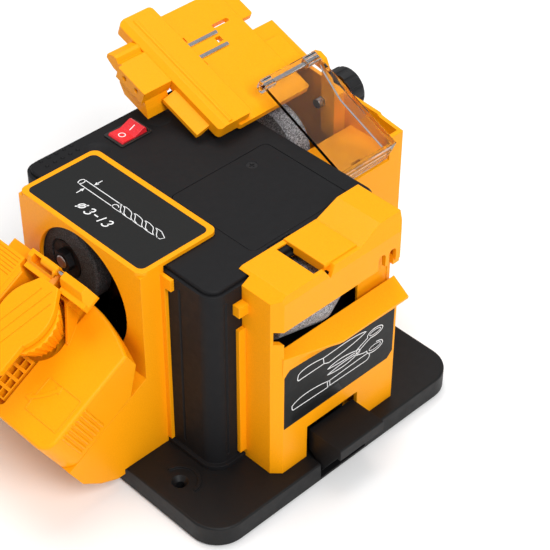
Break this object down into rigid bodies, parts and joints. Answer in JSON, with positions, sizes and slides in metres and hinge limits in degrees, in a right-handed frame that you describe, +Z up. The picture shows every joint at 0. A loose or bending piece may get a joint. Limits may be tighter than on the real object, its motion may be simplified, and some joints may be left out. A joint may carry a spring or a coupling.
{
  "type": "drill bit sharpener",
  "caption": "Bench sharpener: motor housing on a base plate with a swivelling drill head, a knife and scissor slot, and a chisel guide under a clear guard.",
  "frame": {"origin": "centre of the four bench bolt holes, at bench level", "axes": "+Z up, -X towards the drill module, -Y towards the knife module, +X towards the chisel module"},
  "size_m": [0.2898, 0.2383, 0.1895],
  "materials": {
    "black_base": "fine grained moulding",
    "black_body": "fine grained moulding",
    "yellow_shell": "satin moulding",
    "label_black": "printed film",
    "switch_red": "smooth",
    "switch_black": "smooth",
    "bright_steel": "ground and polished",
    "machined_steel": "turned",
    "motor_steel": "pressed and laminated",
    "abrasive": "coarse bonded grit",
    "brass": "turned",
    "rubber": "moulded",
    "clear_shield": "clear polycarbonate",
    "dark_knob": "ribbed moulding"
  },
  "bodies": {
    "machine": {"base_plate": "black_base", "rubber_feet": "rubber", "body_shell": "black_body", "top_cover": "black_body", "service_panel": "black_body", "panel_screw": "machined_steel", "switch_frame": "switch_black", "cord_gland": "rubber", "motor_can": "motor_steel", "motor_end_left": "motor_steel", "motor_end_right": "motor_steel", "motor_bearings": "machined_steel", "stator_core": "motor_steel", "motor_cradle": "machined_steel", "drive_belt": "rubber", "spindle_bracket": "machined_steel", "spindle_bearings": "machined_steel", "drill_housing": "yellow_shell", "drill_label": "label_black", "swivel_pivot": "machined_steel", "knife_housing": "yellow_shell", "knife_label": "label_black", "knife_cover": "yellow_shell", "latch_pin": "machined_steel", "latch_brackets": "black_base", "latch_spring": "bright_steel", "chisel_housing": "yellow_shell", "guard_pin": "bright_steel", "guide_rail": "yellow_shell"},
    "rocker": {"rocker_switch": "switch_red"},
    "rotor": {"rotor_shaft": "machined_steel", "rotor_core": "motor_steel", "cooling_fan": "switch_black", "drill_wheel": "abrasive", "drill_wheel_clamp": "machined_steel", "chisel_wheel": "abrasive", "chisel_wheel_clamp": "machined_steel", "motor_pulley": "brass"},
    "spindle": {"spindle_pulley": "brass", "knife_spindle": "machined_steel", "knife_wheel": "abrasive"},
    "head": {"swivel_head": "yellow_shell"},
    "clamp": {"clamp_wheel": "yellow_shell", "wing_bar": "yellow_shell"},
    "left_jaw": {"jaw_left": "yellow_shell"},
    "right_jaw": {"jaw_right": "yellow_shell", "stop_pin": "bright_steel"},
    "latch": {"latch_lever": "black_base"},
    "guard": {"guard_shield": "clear_shield"},
    "guide": {"guide_plate": "yellow_shell", "guide_bar": "yellow_shell", "guide_rods": "bright_steel"},
    "chisel_clamp": {"chisel_jaw": "yellow_shell"},
    "knob": {"adjust_knob": "dark_knob", "knob_screw": "machined_steel"}
  },
  "joints": [
    {"name": "rocker_tilt", "type": "hinge", "parent": "machine", "child": "rocker", "pos_m": [-0.001, 0.056, 0.1438], "axis": [0, 1, 0], "range_deg": [0, 20]},
    {"name": "rotor_spin", "type": "hinge", "parent": "machine", "child": "rotor", "pos_m": [0, 0.021, 0.116], "axis": [1, 0, 0], "continuous": true},
    {"name": "spindle_spin", "type": "hinge", "parent": "machine", "child": "spindle", "pos_m": [0, -0.0905, 0.116], "axis": [1, 0, 0], "continuous": true},
    {"name": "head_swing", "type": "hinge", "parent": "machine", "child": "head", "pos_m": [-0.11091, 0.00345, 0.08994], "axis": [-0.5008, 0, 0.8656], "range_deg": [-6, 6]},
    {"name": "clamp_turn", "type": "hinge", "parent": "head", "child": "clamp", "pos_m": [-0.11091, 0.00345, 0.08994], "axis": [-0.5008, 0, 0.8656], "range_deg": [-72, 72]},
    {"name": "left_jaw_slide", "type": "slide", "parent": "head", "child": "left_jaw", "axis": [0, 1, 0], "range_m": [-0.0026, 0.0026]},
    {"name": "right_jaw_slide", "type": "slide", "parent": "head", "child": "right_jaw", "axis": [0, -1, 0], "range_m": [-0.0026, 0.0026]},
    {"name": "latch_press", "type": "hinge", "parent": "machine", "child": "latch", "pos_m": [0, -0.101, 0.024], "axis": [1, 0, 0], "range_deg": [0, 4], "stiffness_Nm_per_rad": 1, "springref_deg": -8.59},
    {"name": "guard_lift", "type": "hinge", "parent": "machine", "child": "guard", "pos_m": [0.088, 0.01311, 0.16697], "axis": [-1, 0, 0], "range_deg": [0, 80]},
    {"name": "guide_slide", "type": "slide", "parent": "machine", "child": "guide", "axis": [1, 0, 0], "range_m": [0, 0.018]},
    {"name": "chisel_jaw_slide", "type": "slide", "parent": "guide", "child": "chisel_clamp", "axis": [-1, 0, 0], "range_m": [0, 0.01]},
    {"name": "knob_turn", "type": "hinge", "parent": "machine", "child": "knob", "pos_m": [0.12, 0.0075, 0.1385], "axis": [1, 0, 0], "continuous": true}
  ],
  "couplings": [
    {"joint": "spindle_spin", "follows": "rotor_spin", "ratio": 1},
    {"joint": "left_jaw_slide", "follows": "clamp_turn", "m_per_rad": 0.0019099},
    {"joint": "right_jaw_slide", "follows": "clamp_turn", "m_per_rad": 0.0019099}
  ]
}
